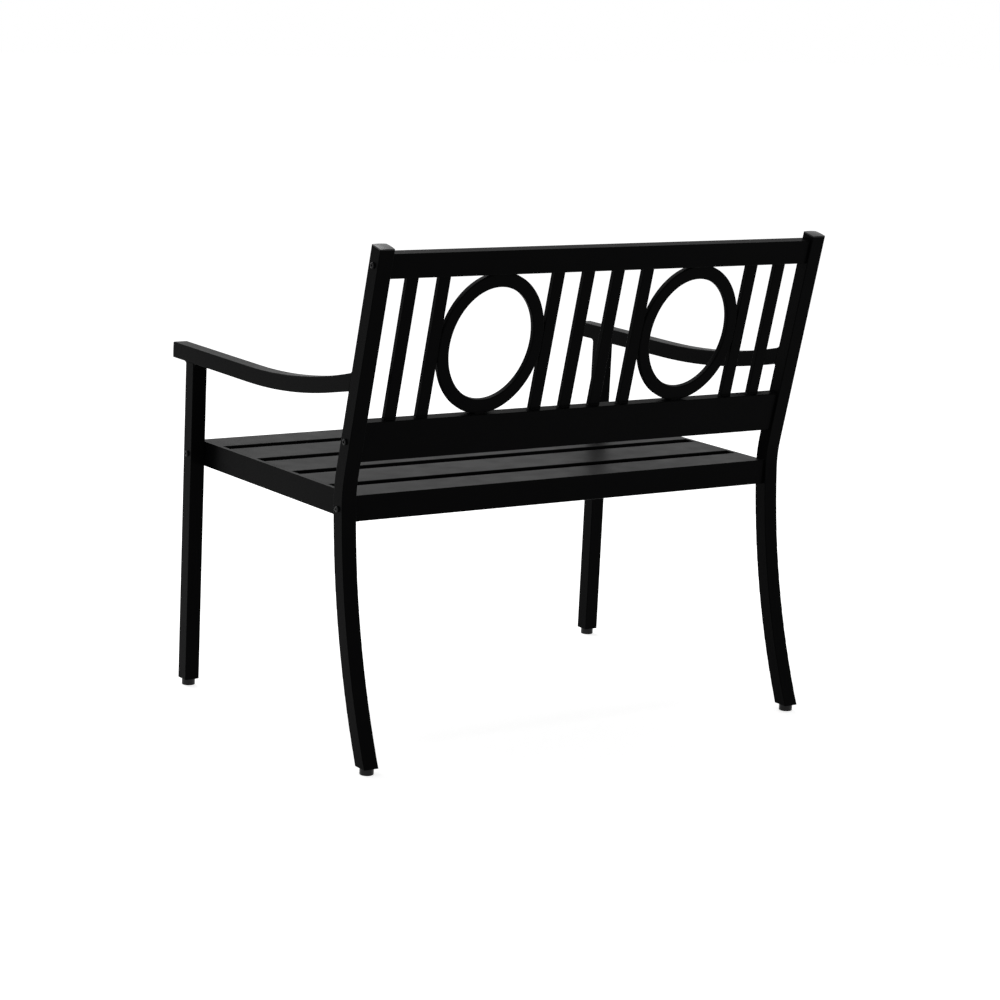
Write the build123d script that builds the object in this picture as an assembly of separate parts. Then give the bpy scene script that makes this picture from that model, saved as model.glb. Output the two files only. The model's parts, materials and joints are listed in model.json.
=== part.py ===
from build123d import *
import math
import os

# An outdoor bench for two: welded end frames, a bolted seat panel and a bolted back panel.
# The seat faces -Y, left is the sitter's left (+X), and the floor is z = 0.
# The origin is the middle of the bench's footprint on the floor. Lengths are in mm, angles in degrees.

# The seat's height carries the heights of the armrests and of the rear legs' knees
seat_height = 450.5
arm_rise_above_seat = 171
knee_rise_above_seat = 39.5

# End frames
overall_width = 930
tube_size = 28
tube_wall = 1.5
tube_corner_radius = 1.5
leg_end_height = 12
arm_overhang = 49
arm_front_fall = 0.6
arm_straight_run = 268
arm_bend_radius = 1315

# Rear legs: a raked back post, a bend at the knee, then a long sweep back to the floor
knee_setback = 534
back_rake = 12.3
knee_radius = 210
knee_exit_angle = 3
foot_sweep_radius = 1240
post_rise_above_rail = 8

# Back panel
back_rail_depth = 19
lower_rail_start = 20
lower_rail_height = 70
infill_height = 248
top_rail_height = 42.5
back_slat_width = 22
back_slat_depth = 10
back_slat_wall = 1.2
back_slat_corner_radius = 1
back_slat_gap = 40.5
outer_slats_per_side = 2
middle_slats = 4
ring_side_band = 21.5
ring_end_band = 25
ring_depth = 11
ring_weld_land = 0.8
infill_set_forward = 3

# Seat panel
seat_rail_height = 44
seat_rail_depth = 74
seat_side_bar_thickness = 8
seat_slat_height = 15
seat_slat_gap = 25
seat_slat_sheet = 1.5
seat_slat_fold_radius = 2.5
seat_slat_count = 3
seat_brace_width = 30
seat_brace_height = 12

# Fasteners
bolt_diameter = 6
bolt_hole_clearance = 0.6
bolt_head_diameter = 10.5
bolt_head_height = 3.3
bolt_head_rounding = 1.5
bolt_socket_width = 4
bolt_socket_depth = 2
bolt_edge_distance = 9
thread_clearance = 0.2
nut_width = 10
nut_thickness = 6
end_block_length = 14

# Caps, plugs and levelling glides
cap_thickness = 3
cap_plug_depth = 12
cap_crown = 1.2
plug_clearance = 0.1
leg_plug_depth = 20
stud_diameter = 6
stud_engagement = 18
glide_diameter = 24
glide_seat_gap = 0.3
glide_edge_radius = 1.5
stud_depth_in_glide = 6

# Allowance by which a cutting shape runs past what it cuts
overrun = 5

# Places that follow from the sizes above, seen from the side as (y, z)
arm_front_height = seat_height + arm_rise_above_seat
knee_height = seat_height + knee_rise_above_seat
half_tube = tube_size / 2
half_width = overall_width / 2
inner_half_width = half_width - tube_size
inner_width = 2 * inner_half_width
tube_center_x = half_width - half_tube
rake = math.radians(back_rake)
exit_angle = math.radians(knee_exit_angle)
arm_fall = math.radians(arm_front_fall)


def on_leg_arc(center, radius, angle):
    return (center[0] - radius * math.cos(angle), center[1] - radius * math.sin(angle))


def on_arm_arc(center, radius, angle):
    return (center[0] + radius * math.sin(angle), center[1] - radius * math.cos(angle))


def leg_centers(knee_y):
    """Centres of the knee bend and of the foot sweep, and the point where one runs into the other."""
    bend_center = (knee_y + knee_radius * math.cos(rake), knee_height - knee_radius * math.sin(rake))
    sweep_start = on_leg_arc(bend_center, knee_radius, exit_angle)
    sweep_center = (
        sweep_start[0] + foot_sweep_radius * math.cos(exit_angle),
        sweep_start[1] + foot_sweep_radius * math.sin(exit_angle),
    )
    return bend_center, sweep_start, sweep_center


def sweep_y(sweep_center, radius, z):
    return sweep_center[0] - math.sqrt(radius**2 - (sweep_center[1] - z) ** 2)


# The heel of a rear leg is the rearmost point, the armrest's end is the foremost
heel_setback = sweep_y(leg_centers(knee_setback)[2], foot_sweep_radius - half_tube, leg_end_height)
overall_depth = arm_overhang + heel_setback
front_y = -overall_depth / 2
front_leg_y = front_y + arm_overhang + half_tube
knee_y = front_y + arm_overhang + knee_setback
bend_center, sweep_start, sweep_center = leg_centers(knee_y)


def rear_leg_y(z):
    """y of a rear leg's centreline at height z, at or below the knee."""
    if z > sweep_start[1]:
        return sweep_y(bend_center, knee_radius, z)
    return sweep_y(sweep_center, foot_sweep_radius, z)


# Plane of the back: x across, y up along the rake, z forward, with its origin at the knee
back_plane = Plane(
    origin=(0, knee_y, knee_height),
    x_dir=(1, 0, 0),
    z_dir=(0, -math.cos(rake), math.sin(rake)),
)
lower_rail_middle = lower_rail_start + lower_rail_height / 2
infill_start = lower_rail_start + lower_rail_height
infill_middle = infill_start + infill_height / 2
top_rail_start = infill_start + infill_height
top_rail_middle = top_rail_start + top_rail_height / 2
post_length = top_rail_start + top_rail_height + post_rise_above_rail

seat_bolt_height = seat_height - seat_rail_height / 2
seat_front_y = front_leg_y - bolt_edge_distance
seat_rear_y = rear_leg_y(seat_bolt_height) + bolt_edge_distance
seat_depth = seat_rear_y - seat_front_y
seat_middle_y = (seat_front_y + seat_rear_y) / 2
seat_span = inner_width - 2 * seat_side_bar_thickness


def side_path(points_to_edges):
    """A wire in the YZ plane from edges drawn as (y, z)."""
    return Plane.YZ * Wire(points_to_edges)


def rear_leg_path():
    """Centreline of a rear leg from the post's top down to below the floor."""
    post_top = (knee_y + post_length * math.sin(rake), knee_height + post_length * math.cos(rake))
    knee = (knee_y, knee_height)
    end_angle = math.asin(sweep_center[1] / (foot_sweep_radius - half_tube))
    bend_middle = on_leg_arc(bend_center, knee_radius, (exit_angle - rake) / 2)
    sweep_middle = on_leg_arc(sweep_center, foot_sweep_radius, (exit_angle + end_angle) / 2)
    sweep_end = on_leg_arc(sweep_center, foot_sweep_radius, end_angle)
    return side_path(
        [
            Line(post_top, knee).edge(),
            ThreePointArc(knee, bend_middle, sweep_start).edge(),
            ThreePointArc(sweep_start, sweep_middle, sweep_end).edge(),
        ]
    )


def arm_path():
    """Centreline of an armrest from its front end to inside the back post."""
    fall = (math.cos(arm_fall), -math.sin(arm_fall))
    front_center_z = arm_front_height - half_tube * math.cos(arm_fall)
    front = (front_y + cap_thickness, front_center_z)
    straight = arm_straight_run - cap_thickness
    bend = (front[0] + straight * fall[0], front[1] + straight * fall[1])
    center = (
        bend[0] + arm_bend_radius * math.sin(arm_fall),
        bend[1] + arm_bend_radius * math.cos(arm_fall),
    )
    to_knee = (center[0] - knee_y) * math.cos(rake) - (center[1] - knee_height) * math.sin(rake)
    meet_angle = math.asin(-to_knee / arm_bend_radius) - rake
    return side_path(
        [
            Line(front, bend).edge(),
            ThreePointArc(
                bend,
                on_arm_arc(center, arm_bend_radius, (meet_angle - arm_fall) / 2),
                on_arm_arc(center, arm_bend_radius, meet_angle),
            ).edge(),
        ]
    )


def bar_along(path, section):
    """Sweeps a section square to the start of a path that lies in a YZ plane."""
    start_plane = Plane(origin=path @ 0, x_dir=(1, 0, 0), z_dir=path % 0)
    return sweep(start_plane * section, path=path)


def square_section():
    return RectangleRounded(tube_size, tube_size, tube_corner_radius)


def bore_section():
    bore = tube_size - 2 * tube_wall
    return Rectangle(bore, bore)


def crosswise_rod(diameter, length, x, y, z):
    """A round rod along X whose middle is at x, y, z."""
    return Pos(x, y, z) * Rot(0, 90, 0) * Cylinder(diameter / 2, length)


def back_point(rise):
    """Point of the back plane on the posts' centreline, as (y, z)."""
    return (knee_y + rise * math.sin(rake), knee_height + rise * math.cos(rake))


bolt_places = [
    back_point(top_rail_middle),
    back_point(lower_rail_middle),
    (rear_leg_y(seat_bolt_height), seat_bolt_height),
    (front_leg_y, seat_bolt_height),
]


def bolt_holes(x):
    hole = bolt_diameter + bolt_hole_clearance
    return [crosswise_rod(hole, tube_size + overrun, x, y, z) for y, z in bolt_places]


UPWARD = (Align.CENTER, Align.CENTER, Align.MIN)
DOWNWARD = (Align.CENTER, Align.CENTER, Align.MAX)

# Everything above the cut ends of the legs, and everything behind the front face of the posts
wide = 2 * overall_width
tall = 2 * (knee_height + post_length)
above_leg_ends = Pos(0, 0, leg_end_height) * Box(wide, 2 * overall_depth, tall, align=UPWARD)
behind_post_front = back_plane * Pos(0, 0, half_tube) * Box(wide, tall, overall_depth, align=DOWNWARD)

leg_route = rear_leg_path()
arm_route = arm_path()
leg_bar = bar_along(leg_route, square_section()) & above_leg_ends
leg_bore = bar_along(leg_route, bore_section()) & above_leg_ends
arm_bar = bar_along(arm_route, square_section()) - behind_post_front
arm_bore = bar_along(arm_route, bore_section()) - behind_post_front
arm_block = bar_along(arm_route, Rectangle(tube_size, tube_size))

foot_y = rear_leg_y(leg_end_height)


def rear_post(x):
    tube = Pos(x, 0, 0) * (leg_bar - leg_bore)
    return tube - bolt_holes(x)[:3]


def armrest(x):
    return Pos(x, 0, 0) * (arm_bar - arm_bore)


def front_leg(x):
    length = arm_front_height - leg_end_height
    place = Pos(0, front_leg_y, leg_end_height)
    leg = place * extrude(square_section(), length) - place * extrude(bore_section(), length)
    below_arm = leg - arm_block
    lowest = below_arm.solids().sort_by(Axis.Z)[0]
    return Pos(x, 0, 0) * lowest - bolt_holes(x)[3:]


def box_tube(width, height, wall, corner_radius, length):
    """A rectangular tube along its local z, with its origin in its middle."""
    outside = extrude(RectangleRounded(width, height, corner_radius), length / 2, both=True)
    return outside - Box(width - 2 * wall, height - 2 * wall, length)


def back_rail(rise, height):
    """A rail of the back; its section lies square in the raked plane."""
    tube = box_tube(back_rail_depth, height, tube_wall, tube_corner_radius, inner_width)
    return back_plane * Pos(0, rise, 0) * Rot(0, 90, 0) * tube


def rail_end_block(side, rise, height):
    """Threaded block welded into the end of a back rail."""
    bore_height = height - 2 * tube_wall
    bore_depth = back_rail_depth - 2 * tube_wall
    block = Box(end_block_length, bore_height, bore_depth)
    thread = Rot(0, 90, 0) * Cylinder((bolt_diameter + thread_clearance) / 2, end_block_length)
    middle = side * (inner_half_width - end_block_length / 2)
    return back_plane * Pos(middle, rise, 0) * (block - thread)


def back_slat(x):
    tube = box_tube(
        back_slat_width, back_slat_depth, back_slat_wall, back_slat_corner_radius, infill_height
    )
    return back_plane * Pos(x, infill_middle, infill_set_forward) * Rot(90, 0, 0) * tube


slat_pitch = back_slat_width + back_slat_gap
inner_slat_edge = middle_slats * back_slat_width / 2 + (middle_slats - 1) * back_slat_gap / 2
outer_slat_edge = inner_half_width - outer_slats_per_side * slat_pitch
ring_bay = outer_slat_edge - inner_slat_edge
ring_x = (outer_slat_edge + inner_slat_edge) / 2


def slat_positions():
    """Middles of the back slats from left (+X) to right."""
    outermost = inner_half_width - back_slat_gap - back_slat_width / 2
    left = [outermost - i * slat_pitch for i in range(outer_slats_per_side)]
    middle = [(middle_slats - 1) * slat_pitch / 2 - i * slat_pitch for i in range(middle_slats)]
    return left + middle + [-x for x in reversed(left)]


def back_ring(x):
    """An oval ring that fills its bay, with small flats where it is welded to the slats and rails."""
    half_across = ring_bay / 2 + ring_weld_land
    half_up = infill_height / 2 + ring_weld_land
    hole = Ellipse(half_across - ring_side_band, half_up - ring_end_band)
    band = Ellipse(half_across, half_up) & Rectangle(ring_bay, infill_height)
    ring = extrude(band - hole, ring_depth / 2, both=True)
    return back_plane * Pos(x, infill_middle, infill_set_forward) * ring


def seat_side_bar(side):
    thickness = seat_side_bar_thickness
    bar = Pos(side * (inner_half_width - thickness / 2), seat_middle_y, seat_bolt_height) * Box(
        thickness, seat_depth, seat_rail_height
    )
    hole = bolt_diameter + bolt_hole_clearance
    holes = [crosswise_rod(hole, inner_width + overrun, 0, y, z) for y, z in bolt_places[2:]]
    return bar - holes


def seat_rail(y):
    tube = box_tube(seat_rail_height, seat_rail_depth, tube_wall, tube_corner_radius, seat_span)
    return Pos(0, y, seat_bolt_height) * Rot(0, 90, 0) * tube


seat_slat_depth = (
    seat_depth - 2 * seat_rail_depth - (seat_slat_count + 1) * seat_slat_gap
) / seat_slat_count


def folded_block(depth, fold_radius):
    block = Box(seat_span, depth, seat_slat_height)
    top_edges = block.edges().filter_by(Axis.X).group_by(Axis.Z)[-1]
    return fillet(top_edges, fold_radius)


def seat_slat(index):
    """A slat folded from sheet: a flat top with a flange down its front and its back."""
    start = seat_front_y + seat_rail_depth + seat_slat_gap
    y = start + seat_slat_depth / 2 + index * (seat_slat_depth + seat_slat_gap)
    outside = folded_block(seat_slat_depth, seat_slat_fold_radius)
    inside = folded_block(seat_slat_depth - 2 * seat_slat_sheet, seat_slat_fold_radius - seat_slat_sheet)
    slat = outside - Pos(0, 0, -seat_slat_sheet) * inside
    return Pos(0, y, seat_height - seat_slat_height / 2) * slat


def seat_brace():
    """Flat bar under the middle of the seat slats, between the two seat rails."""
    length = seat_depth - 2 * seat_rail_depth
    middle_z = seat_height - seat_slat_height - seat_brace_height / 2
    return Pos(0, seat_middle_y, middle_z) * Box(seat_brace_width, length, seat_brace_height)


def seat_nut(side, y, z):
    """Weld nut on the inner face of a seat side bar."""
    middle = side * (inner_half_width - seat_side_bar_thickness - nut_thickness / 2)
    corner_radius = nut_width / math.sqrt(3)
    flat = extrude(RegularPolygon(corner_radius, 6), nut_thickness / 2, both=True)
    nut = flat - Cylinder((bolt_diameter + thread_clearance) / 2, nut_thickness)
    return Pos(middle, y, z) * Rot(0, 90, 0) * nut


def bolt(side, y, z):
    """Button-head bolt through a leg or post, with its head on the outer face."""
    shank_length = tube_size + end_block_length
    shank = Cylinder(bolt_diameter / 2, shank_length, align=DOWNWARD)
    head = Cylinder(bolt_head_diameter / 2, bolt_head_height, align=UPWARD)
    head = fillet(head.edges().sort_by(Axis.Z)[-1], bolt_head_rounding)
    socket_radius = bolt_socket_width / math.sqrt(3)
    socket = Pos(0, 0, bolt_head_height - bolt_socket_depth) * extrude(
        RegularPolygon(socket_radius, 6), bolt_socket_depth
    )
    return Pos(side * half_width, y, z) * Rot(0, side * 90, 0) * (head + shank - socket)


def end_plug(path_plane):
    """Plastic end cap: a crowned plate as large as the tube with a plug inside the bore."""
    bore = tube_size - 2 * tube_wall - plug_clearance
    corner_reach = tube_size / math.sqrt(2)
    crown_radius = (corner_reach**2 + cap_crown**2) / (2 * cap_crown)
    crown = Pos(0, 0, cap_thickness - crown_radius) * Rot(90, 0, 0) * Sphere(crown_radius)
    plate = extrude(square_section(), cap_thickness) & crown
    plug = extrude(Rectangle(bore, bore), -cap_plug_depth)
    return path_plane * (plate + plug)


def post_cap(x):
    top = back_point(post_length)
    up = (0, math.sin(rake), math.cos(rake))
    return end_plug(Plane(origin=(x, top[0], top[1]), x_dir=(1, 0, 0), z_dir=up))


def arm_end_cap(x):
    front = arm_route @ 0
    forward = -(arm_route % 0)
    return end_plug(Plane(origin=(x, front.Y, front.Z), x_dir=(1, 0, 0), z_dir=forward))


def leg_plug(bore_shape, x, y):
    """Threaded plug that fills the open end of a leg."""
    slab = Box(overall_width, 2 * overall_depth, leg_plug_depth, align=UPWARD)
    thread = Cylinder((stud_diameter + thread_clearance) / 2, leg_plug_depth, align=UPWARD)
    plug = (bore_shape & Pos(0, 0, leg_end_height) * slab) - Pos(0, y, leg_end_height) * thread
    return Pos(x, 0, 0) * plug


def glide_stud(x, y):
    """Steel stud from inside the glide up into the leg plug."""
    bottom = leg_end_height - glide_seat_gap - stud_depth_in_glide
    length = stud_depth_in_glide + glide_seat_gap + stud_engagement
    return Pos(x, y, bottom) * Cylinder(stud_diameter / 2, length, align=UPWARD)


def glide_pad(x, y):
    """Round plastic pad that stands on the floor, moulded round the stud's lower end."""
    height = leg_end_height - glide_seat_gap
    pad = Cylinder(glide_diameter / 2, height, align=UPWARD)
    pad = fillet(pad.edges().filter_by(GeomType.CIRCLE).sort_by(Axis.Z)[0], glide_edge_radius)
    socket = Cylinder(stud_diameter / 2, stud_depth_in_glide, align=UPWARD)
    return Pos(x, y, 0) * (pad - Pos(0, 0, height - stud_depth_in_glide) * socket)


front_leg_bore = Pos(0, front_leg_y, leg_end_height) * extrude(bore_section(), leg_plug_depth)
legs = (("front", front_leg_y, front_leg_bore), ("rear", foot_y, leg_bore))
sides = {"left": 1, "right": -1}
back_rails = ((top_rail_middle, top_rail_height), (lower_rail_middle, lower_rail_height))
parts = {}
for side_name, side in sides.items():
    x = side * tube_center_x
    parts[f"front_leg_{side_name}"] = front_leg(x)
    parts[f"rear_post_{side_name}"] = rear_post(x)
    parts[f"armrest_{side_name}"] = armrest(x)
    parts[f"post_cap_{side_name}"] = post_cap(x)
    parts[f"armrest_end_cap_{side_name}"] = arm_end_cap(x)
    parts[f"seat_side_bar_{side_name}"] = seat_side_bar(side)
    for place_name, y, bore_shape in legs:
        parts[f"leg_plug_{place_name}_{side_name}"] = leg_plug(bore_shape, x, y)
        parts[f"glide_stud_{place_name}_{side_name}"] = glide_stud(x, y)
        parts[f"glide_pad_{place_name}_{side_name}"] = glide_pad(x, y)
    parts[f"back_ring_{side_name}"] = back_ring(side * ring_x)

parts["back_top_rail"] = back_rail(*back_rails[0])
parts["back_bottom_rail"] = back_rail(*back_rails[1])
for number, slat_x in enumerate(slat_positions(), start=1):
    parts[f"back_slat_{number}"] = back_slat(slat_x)

parts["seat_front_rail"] = seat_rail(seat_front_y + seat_rail_depth / 2)
parts["seat_rear_rail"] = seat_rail(seat_rear_y - seat_rail_depth / 2)
for index in range(seat_slat_count):
    parts[f"seat_slat_{index + 1}"] = seat_slat(index)
parts["seat_center_brace"] = seat_brace()

end_blocks = [rail_end_block(side, *sizes) for side in sides.values() for sizes in back_rails]
seat_nuts = [seat_nut(side, y, z) for side in sides.values() for y, z in bolt_places[2:]]
bolts = [bolt(side, y, z) for side in sides.values() for y, z in bolt_places]
parts["rail_end_blocks"] = Compound(end_blocks)
parts["seat_weld_nuts"] = Compound(seat_nuts)
parts["frame_bolts"] = Compound(bolts)

os.makedirs("parts", exist_ok=True)
for name, shape in parts.items():
    export_step(shape, f"parts/{name}.step")
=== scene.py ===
import json
import math

import bmesh
import bpy
from mathutils import Matrix, Vector

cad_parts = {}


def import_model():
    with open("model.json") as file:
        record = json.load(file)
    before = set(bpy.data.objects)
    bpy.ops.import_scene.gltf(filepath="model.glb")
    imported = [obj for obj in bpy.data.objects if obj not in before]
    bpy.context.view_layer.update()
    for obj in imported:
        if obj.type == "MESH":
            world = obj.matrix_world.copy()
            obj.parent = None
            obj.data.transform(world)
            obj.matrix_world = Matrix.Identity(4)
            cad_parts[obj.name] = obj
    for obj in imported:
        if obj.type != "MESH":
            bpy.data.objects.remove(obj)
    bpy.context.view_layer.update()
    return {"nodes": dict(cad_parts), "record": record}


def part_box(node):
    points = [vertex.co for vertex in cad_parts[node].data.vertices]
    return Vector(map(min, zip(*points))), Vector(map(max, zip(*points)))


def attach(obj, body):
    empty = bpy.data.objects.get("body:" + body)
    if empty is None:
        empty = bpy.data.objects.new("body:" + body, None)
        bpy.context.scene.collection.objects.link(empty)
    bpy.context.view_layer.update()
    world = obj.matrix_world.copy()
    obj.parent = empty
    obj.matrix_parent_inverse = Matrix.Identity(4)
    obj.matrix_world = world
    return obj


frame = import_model()
nodes = frame["nodes"]

# Metres throughout. Front faces -Y, the back is at +Y, left is the sitter's left (+X).

# Camera, fitted to the photograph
CAMERA_POSITION = (2.8602, 4.09705, 1.3839)
CAMERA_RIGHT = (-0.822254, 0.567196, 0.046769)
CAMERA_FORWARD = (-0.564018, -0.801145, -0.200125)
CAMERA_LENS = 101.628
SENSOR_WIDTH = 36
CAMERA_REACH = 100


def camera():
    data = bpy.data.cameras.new("camera")
    data.sensor_width = SENSOR_WIDTH
    data.lens = CAMERA_LENS
    data.clip_end = CAMERA_REACH
    cam = bpy.data.objects.new("camera", data)
    right, forward = Vector(CAMERA_RIGHT).normalized(), Vector(CAMERA_FORWARD).normalized()
    up = right.cross(forward)
    turn = Matrix((right, up, -forward)).transposed()
    cam.matrix_world = Matrix.Translation(CAMERA_POSITION) @ turn.to_4x4()
    bpy.context.scene.collection.objects.link(cam)
    bpy.context.scene.camera = cam


# Materials. Noises are (waves per metre, detail), bumps are (strength, depth in metres).
NOISE_RANGE = (0.3, 0.7)

COAT_TONES = ((0.0016, 0.0016, 0.0017, 1), (0.0026, 0.0026, 0.0028, 1))
COAT_MOTTLE = (26, 4)
COAT_ROUGHNESS = (0.31, 0.37)
COAT_PEEL, COAT_PEEL_BUMP = (620, 2), (0.35, 0.00006)
COAT_WAVE, COAT_WAVE_BUMP = (85, 1), (0.25, 0.0001)
COAT_SHINE = 0.014

BLACK_TONES = ((0.003, 0.003, 0.0033, 1), (0.006, 0.006, 0.0066, 1))
BLACK_MOTTLE = (60, 3)
BLACK_GRAIN, BLACK_GRAIN_BUMP = (1500, 2), (0.3, 0.00005)
PLASTIC_SHINE, PLASTIC_ROUGHNESS = 0.16, (0.26, 0.34)
BOLT_SHINE, BOLT_ROUGHNESS = 0.1, (0.08, 0.16)

ZINC_TONES = ((0.40, 0.40, 0.41, 1), (0.52, 0.52, 0.54, 1))
ZINC_CLOUD = (90, 4)
ZINC_ROUGHNESS = (0.28, 0.42)
ZINC_GRAIN, ZINC_GRAIN_BUMP = (900, 2), (0.2, 0.00004)


def new_material(name):
    mat = bpy.data.materials.new(name)
    mat.use_nodes = True
    tree = mat.node_tree
    return mat, tree, tree.nodes["Principled BSDF"]


def add(tree, kind, **settings):
    node = tree.nodes.new(kind)
    for key, value in settings.items():
        if key in node.inputs:
            node.inputs[key].default_value = value
        else:
            setattr(node, key, value)
    return node


def noise(tree, scale, detail):
    coords = add(tree, "ShaderNodeTexCoord")
    tex = add(tree, "ShaderNodeTexNoise", Scale=scale, Detail=detail)
    tree.links.new(coords.outputs["Object"], tex.inputs["Vector"])
    return tex.outputs["Fac"]


def ramp(tree, source, low, high, low_value, high_value):
    node = add(tree, "ShaderNodeMapRange")
    node.inputs["From Min"].default_value = low
    node.inputs["From Max"].default_value = high
    node.inputs["To Min"].default_value = low_value
    node.inputs["To Max"].default_value = high_value
    tree.links.new(source, node.inputs["Value"])
    return node.outputs["Result"]


def colour_mix(tree, factor, first, second):
    node = add(tree, "ShaderNodeMix", data_type="RGBA")
    node.inputs["A"].default_value = first
    node.inputs["B"].default_value = second
    tree.links.new(factor, node.inputs["Factor"])
    return node.outputs[2]


def bump(tree, height, strength, distance, below=None):
    node = add(tree, "ShaderNodeBump", Strength=strength, Distance=distance)
    tree.links.new(height, node.inputs["Height"])
    if below is not None:
        tree.links.new(below, node.inputs["Normal"])
    return node.outputs["Normal"]


def clouded(tree, shader, cloud, tones, roughness):
    """Tone and roughness that drift together over the surface."""
    factor = noise(tree, *cloud)
    tree.links.new(colour_mix(tree, factor, *tones), shader.inputs["Base Color"])
    tree.links.new(ramp(tree, factor, *NOISE_RANGE, *roughness), shader.inputs["Roughness"])


def powder_coat():
    """Semi-gloss black powder coat: a fine orange peel on slow waves, with faint mottling."""
    mat, tree, shader = new_material("black_powder_coat")
    clouded(tree, shader, COAT_MOTTLE, COAT_TONES, COAT_ROUGHNESS)
    peel = bump(tree, noise(tree, *COAT_PEEL), *COAT_PEEL_BUMP)
    wave = bump(tree, noise(tree, *COAT_WAVE), *COAT_WAVE_BUMP, peel)
    tree.links.new(wave, shader.inputs["Normal"])
    shader.inputs["Specular IOR Level"].default_value = COAT_SHINE
    return mat


def grained_black(name, shine, roughness):
    """Black with a very fine grain, for moulded plastic and for blackened bolts."""
    mat, tree, shader = new_material(name)
    clouded(tree, shader, BLACK_MOTTLE, BLACK_TONES, roughness)
    grain = bump(tree, noise(tree, *BLACK_GRAIN), *BLACK_GRAIN_BUMP)
    tree.links.new(grain, shader.inputs["Normal"])
    shader.inputs["Specular IOR Level"].default_value = shine
    return mat


def zinc():
    """Zinc-plated steel with a fine grain and a faint cloudiness."""
    mat, tree, shader = new_material("zinc_steel")
    clouded(tree, shader, ZINC_CLOUD, ZINC_TONES, ZINC_ROUGHNESS)
    grain = bump(tree, noise(tree, *ZINC_GRAIN), *ZINC_GRAIN_BUMP)
    tree.links.new(grain, shader.inputs["Normal"])
    shader.inputs["Metallic"].default_value = 1
    return mat


MATERIALS = {
    "black_powder_coat": powder_coat(),
    "black_plastic": grained_black("black_plastic", PLASTIC_SHINE, PLASTIC_ROUGHNESS),
    "bolt_steel": grained_black("bolt_black", BOLT_SHINE, BOLT_ROUGHNESS),
    "plain_steel": zinc(),
}
slot_of = {row["node"]: row["material_slot"] for row in frame["record"]["subparts"]}

# Rounded edges on the CAD nodes, in metres
EDGE_ROUNDING = {
    "seat_side_bar": 0.0009,
    "seat_center_brace": 0.0009,
    "back_ring": 0.0022,
    "back_slat": 0.0003,
    "seat_slat": 0.0003,
    "frame_bolts": 0.0003,
    "glide_pad": 0.0003,
    "glide_stud": 0.0004,
    "seat_weld_nuts": 0.0005,
    "rail_end_blocks": 0.0005,
    "post_cap": 0.0006,
    "armrest_end_cap": 0.0006,
}
PLAIN_ROUNDING = 0.0004
ROUNDING_SEGMENTS = 3
SHARP_ANGLE = math.radians(28)
SAME_PLANE_ANGLE = math.radians(0.3)
SAME_POINT_DISTANCE = 0.00001
FLAT_FACE_WEIGHT = 90


def even_shading(obj):
    shading = obj.modifiers.new("even_shading", "WEIGHTED_NORMAL")
    shading.mode = "FACE_AREA_WITH_ANGLE"
    shading.weight = FLAT_FACE_WEIGHT
    shading.keep_sharp = False


def dress(name, node):
    node.data.materials.clear()
    node.data.materials.append(MATERIALS[slot_of[name]])
    weld = node.modifiers.new("join_vertices", "WELD")
    weld.merge_threshold = SAME_POINT_DISTANCE
    faces = node.modifiers.new("join_flat_faces", "DECIMATE")
    faces.decimate_type = "DISSOLVE"
    faces.angle_limit = SAME_PLANE_ANGLE
    rounding = node.modifiers.new("edge_rounding", "BEVEL")
    width = [value for prefix, value in EDGE_ROUNDING.items() if name.startswith(prefix)]
    rounding.width = width[0] if width else PLAIN_ROUNDING
    rounding.segments = ROUNDING_SEGMENTS
    rounding.limit_method = "ANGLE"
    rounding.angle_limit = SHARP_ANGLE
    rounding.use_clamp_overlap = True
    even_shading(node)


for name, node in nodes.items():
    dress(name, node)

# Welds. Their places are read from the solids that they join.
BACK_RAKE = math.radians(12.3)
UP_BACK = Vector((0, math.sin(BACK_RAKE), math.cos(BACK_RAKE)))
OUT_OF_BACK = Vector((0, -math.cos(BACK_RAKE), math.sin(BACK_RAKE)))
ACROSS = Vector((1, 0, 0))
UP = Vector((0, 0, 1))
INFILL_HEIGHT = 0.248
SLAT_DEPTH = 0.010
RING_DEPTH = 0.011
RING_LAND = 0.0008
ARM_FALL = math.radians(0.6)
ARM_REAR_SLOPE = math.radians(14.1)
TUBE_CORNER_RADIUS = 0.0015

SLAT_BEAD = 0.0016
SLAT_BEAD_INSET = 0.0012
RING_RAIL_BEAD = 0.0022
RING_SLAT_BEAD = 0.0012
RING_FLAT_SHARE = 0.93
ARM_BEAD_ON_LEG = 0.0080
ARM_BEAD_ON_POST = 0.0055
ARM_BEAD_INSET = 0.0010
LEG_SIDE_BEAD = 0.0011
LEG_SIDE_INSET = 0.0009
SAME_FACE_DISTANCE = 0.00015

RIPPLE_PITCH = 0.0028
RIPPLE_SHARE = 0.06
BEAD_STEP = 0.0005
BEAD_ARC_STEPS = 6
BEAD_HOLLOW_SHARE = 0.82
BEAD_SUNK_SHARE = 0.15
END_ROUNDING = 0.0015
END_SHARE = 0.45


def box_middle(node):
    low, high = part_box(node)
    return (low + high) / 2


def box_width(node):
    low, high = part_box(node)
    return high.x - low.x


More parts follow.
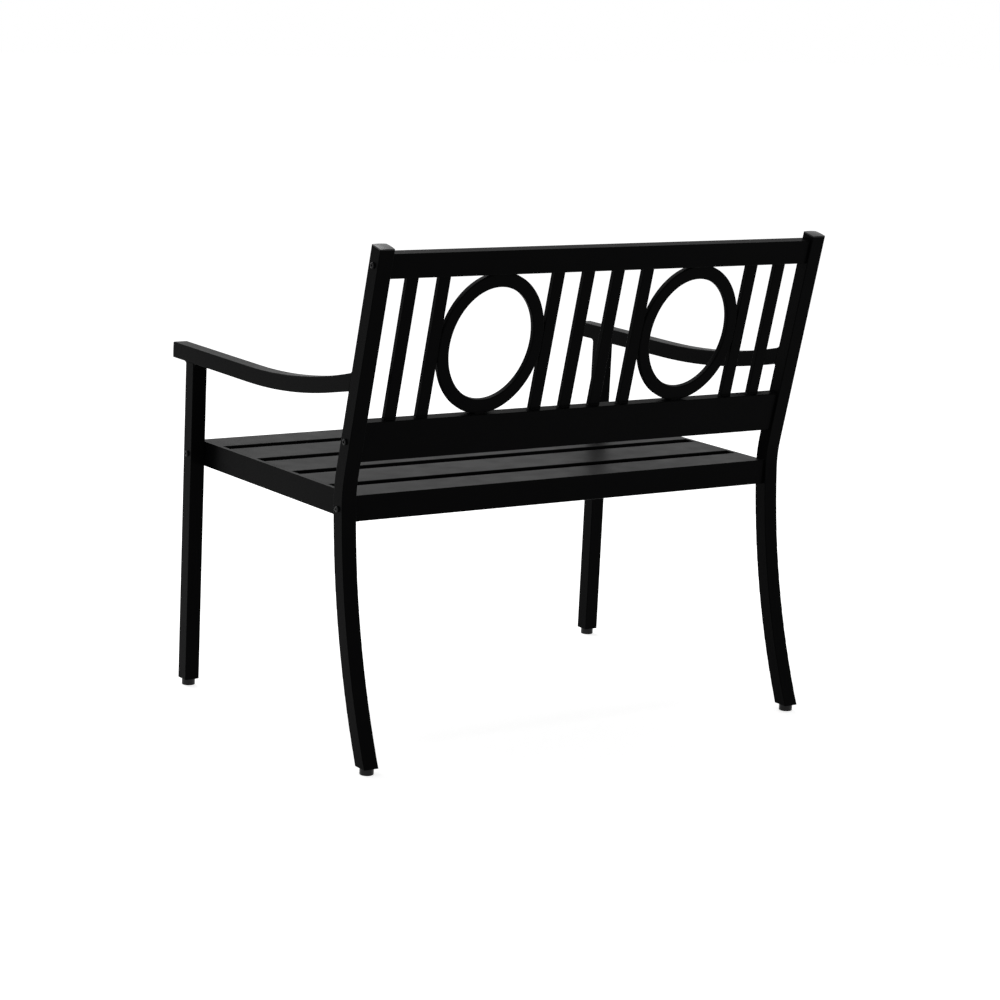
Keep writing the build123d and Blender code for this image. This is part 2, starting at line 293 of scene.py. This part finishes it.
def bead_section(bm, corner, first, second, leg):
    """One cross-section: sunk into the corner, with a hollow arc from one face to the other."""
    sunk = leg * BEAD_SUNK_SHARE
    points = [corner - (first + second) * sunk, corner + first * leg - second * sunk]
    for step in range(BEAD_ARC_STEPS + 1):
        part = step / BEAD_ARC_STEPS
        angle = math.pi / 2 * part
        on_first = BEAD_HOLLOW_SHARE * (1 - math.sin(angle)) + (1 - BEAD_HOLLOW_SHARE) * (1 - part)
        on_second = BEAD_HOLLOW_SHARE * (1 - math.cos(angle)) + (1 - BEAD_HOLLOW_SHARE) * part
        points.append(corner + (first * on_first + second * on_second) * leg)
    points.append(corner + second * leg - first * sunk)
    return [bm.verts.new(point) for point in points]


def end_share(distance):
    """How full a bead is at a distance from its end: a quarter circle over the end's rounding."""
    reach = min(distance / END_ROUNDING, 1)
    return END_SHARE + (1 - END_SHARE) * math.sqrt(1 - (1 - reach) ** 2)


def bead(bm, start, end, first, second, leg):
    """A straight weld bead in the corner that runs from start to end, on the faces along first and second."""
    length = (end - start).length
    count = math.ceil(length / BEAD_STEP)
    sections = []
    for i in range(count + 1):
        gone = i / count * length
        ripple = 1 + RIPPLE_SHARE * math.sin(gone / RIPPLE_PITCH * 2 * math.pi)
        size = leg * end_share(min(gone, length - gone)) * ripple
        sections.append(bead_section(bm, start.lerp(end, i / count), first, second, size))
    for a, b in zip(sections, sections[1:]):
        for i in range(len(a)):
            j = (i + 1) % len(a)
            bm.faces.new((a[i], a[j], b[j], b[i]))
    bm.faces.new(list(reversed(sections[0])))
    bm.faces.new(sections[-1])


def weld_piece(name, beads):
    bm = bmesh.new()
    for ends_and_faces in beads:
        bead(bm, *ends_and_faces)
    bmesh.ops.recalc_face_normals(bm, faces=bm.faces)
    for face in bm.faces:
        face.smooth = True
    mesh = bpy.data.meshes.new(name)
    bm.to_mesh(mesh)
    bm.free()
    piece = bpy.data.objects.new(name, mesh)
    bpy.context.scene.collection.objects.link(piece)
    mesh.materials.append(MATERIALS["black_powder_coat"])
    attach(piece, "frame")


def slat_beads(slat):
    """Small fillets round both ends of a back slat."""
    middle, half_width = box_middle(slat), box_width(slat) / 2
    across = ACROSS * (half_width - SLAT_BEAD_INSET)
    out = OUT_OF_BACK * (SLAT_DEPTH / 2 - SLAT_BEAD_INSET)
    beads = []
    for end in (-1, 1):
        at_end = middle + UP_BACK * end * INFILL_HEIGHT / 2
        for side in (1, -1):
            face = at_end + OUT_OF_BACK * side * SLAT_DEPTH / 2
            edge = at_end + ACROSS * side * half_width
            beads.append((face - across, face + across, UP_BACK * -end, OUT_OF_BACK * side, SLAT_BEAD))
            beads.append((edge - out, edge + out, UP_BACK * -end, ACROSS * side, SLAT_BEAD))
    return beads


def ring_beads(ring):
    """Fillets along the ring's flats: on the rails above and below, on the slats at both sides."""
    middle, half_bay = box_middle(ring), box_width(ring) / 2
    half_across, half_up = half_bay + RING_LAND, INFILL_HEIGHT / 2 + RING_LAND
    flat_across = ACROSS * half_across * math.sqrt(1 - (1 - RING_LAND / half_up) ** 2) * RING_FLAT_SHARE
    flat_up = UP_BACK * half_up * math.sqrt(1 - (1 - RING_LAND / half_across) ** 2) * RING_FLAT_SHARE
    beads = []
    for side in (1, -1):
        out = OUT_OF_BACK * side
        for end in (-1, 1):
            on_rail = middle + out * RING_DEPTH / 2 + UP_BACK * end * INFILL_HEIGHT / 2
            on_slat = middle + out * (SLAT_DEPTH - RING_SLAT_BEAD) / 2 + ACROSS * end * half_bay
            beads.append((on_rail - flat_across, on_rail + flat_across, UP_BACK * -end, out, RING_RAIL_BEAD))
            beads.append((on_slat - flat_up, on_slat + flat_up, ACROSS * -end, out, RING_SLAT_BEAD))
    return beads


def leg_top_beads(leg):
    """Fillets between a front leg and the underside of its armrest, round all four faces."""
    low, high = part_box(leg)
    middle, half_tube = (low + high) / 2, (high.x - low.x) / 2
    across = ACROSS * (half_tube - ARM_BEAD_INSET)
    along_arm = Vector((0, math.cos(ARM_FALL), -math.sin(ARM_FALL)))
    top = Vector((middle.x, middle.y, high.z)) - UP * half_tube * math.tan(ARM_FALL)
    beads = []
    for side in (1, -1):
        edge = top + along_arm * side * half_tube / math.cos(ARM_FALL)
        beads.append((edge - across, edge + across, -UP, along_arm * side, ARM_BEAD_ON_LEG))
        flank = top + ACROSS * side * (half_tube - LEG_SIDE_INSET)
        run = along_arm * (half_tube - TUBE_CORNER_RADIUS)
        beads.append((flank - run, flank + run, UP, ACROSS * side, LEG_SIDE_BEAD))
    return beads


def arm_rear_beads(arm):
    """Fillets between an armrest's rear end and the front face of the back post, above and below."""
    corners = [vertex.co for vertex in nodes[arm].data.vertices]
    rearmost = min(corner.dot(OUT_OF_BACK) for corner in corners)
    at_post = [corner for corner in corners if corner.dot(OUT_OF_BACK) < rearmost + SAME_FACE_DISTANCE]
    at_post.sort(key=lambda corner: corner.dot(UP_BACK))
    middle_x, half_tube = box_middle(arm).x, box_width(arm) / 2
    across = ACROSS * (half_tube - ARM_BEAD_INSET)
    along_arm = Vector((0, -math.cos(ARM_REAR_SLOPE), -math.sin(ARM_REAR_SLOPE)))
    beads = []
    for corner, side in ((at_post[0], -1), (at_post[-1], 1)):
        edge = Vector((middle_x, corner.y, corner.z))
        beads.append((edge - across, edge + across, along_arm, UP_BACK * side, ARM_BEAD_ON_POST))
    return beads


WELDED = {
    "back_slat_": slat_beads,
    "back_ring_": ring_beads,
    "front_leg_": leg_top_beads,
    "armrest_left": arm_rear_beads,
    "armrest_right": arm_rear_beads,
}
for name in nodes:
    for prefix, beads_of in WELDED.items():
        if name.startswith(prefix):
            weld_piece(f"{name}_welds", beads_of(name))


# Stage. Light levels are (for the object, for the camera and reflections).
FLOOR_SIZE = 40
FLOOR_TONE = (0.8, 0.8, 0.8, 1)
FLOOR_ROUGHNESS = 0.9
FLOOR_GLOW = (0, 0.72)
WHITE = (1, 1, 1, 1)
WORLD_LEVEL = (0.45, 1.0)
KEY_PLACE = (0.1, -2.0, 3.0)
KEY_TARGET = (0, 0.1, 0.7)
KEY_SIZE = (3.0, 1.8)
KEY_POWER = 68


def seen_directly(tree):
    """1 for rays from the camera and in reflections, 0 for the light that falls on the object."""
    path = add(tree, "ShaderNodeLightPath")
    total = path.outputs["Is Camera Ray"]
    for other in ("Is Glossy Ray", "Is Transmission Ray"):
        larger = add(tree, "ShaderNodeMath", operation="MAXIMUM")
        tree.links.new(total, larger.inputs[0])
        tree.links.new(path.outputs[other], larger.inputs[1])
        total = larger.outputs[0]
    return total


def stage():
    mesh = bpy.data.meshes.new("floor")
    bm = bmesh.new()
    bmesh.ops.create_grid(bm, x_segments=1, y_segments=1, size=FLOOR_SIZE / 2)
    bm.to_mesh(mesh)
    bm.free()
    floor = bpy.data.objects.new("floor", mesh)
    bpy.context.scene.collection.objects.link(floor)
    mat, tree, shader = new_material("floor_white")
    shader.inputs["Base Color"].default_value = FLOOR_TONE
    shader.inputs["Roughness"].default_value = FLOOR_ROUGHNESS
    shader.inputs["Specular IOR Level"].default_value = 0
    shader.inputs["Emission Color"].default_value = WHITE
    glow = ramp(tree, seen_directly(tree), 0, 1, *FLOOR_GLOW)
    tree.links.new(glow, shader.inputs["Emission Strength"])
    mesh.materials.append(mat)


def world():
    """Plain level for the object, white for the camera and in reflections."""
    scene_world = bpy.data.worlds.new("studio")
    bpy.context.scene.world = scene_world
    scene_world.use_nodes = True
    tree = scene_world.node_tree
    background = tree.nodes["Background"]
    background.inputs["Color"].default_value = WHITE
    level = ramp(tree, seen_directly(tree), 0, 1, *WORLD_LEVEL)
    tree.links.new(level, background.inputs["Strength"])


def soft_light(name, location, target, size, power):
    data = bpy.data.lights.new(name, "AREA")
    data.shape = "RECTANGLE"
    data.size, data.size_y = size
    data.energy = power
    lamp = bpy.data.objects.new(name, data)
    lamp.location = location
    lamp.rotation_euler = (Vector(target) - Vector(location)).to_track_quat("-Z", "Y").to_euler()
    bpy.context.scene.collection.objects.link(lamp)


bpy.context.scene.view_settings.view_transform = "Standard"
camera()
stage()
world()
soft_light("key", KEY_PLACE, KEY_TARGET, KEY_SIZE, KEY_POWER)
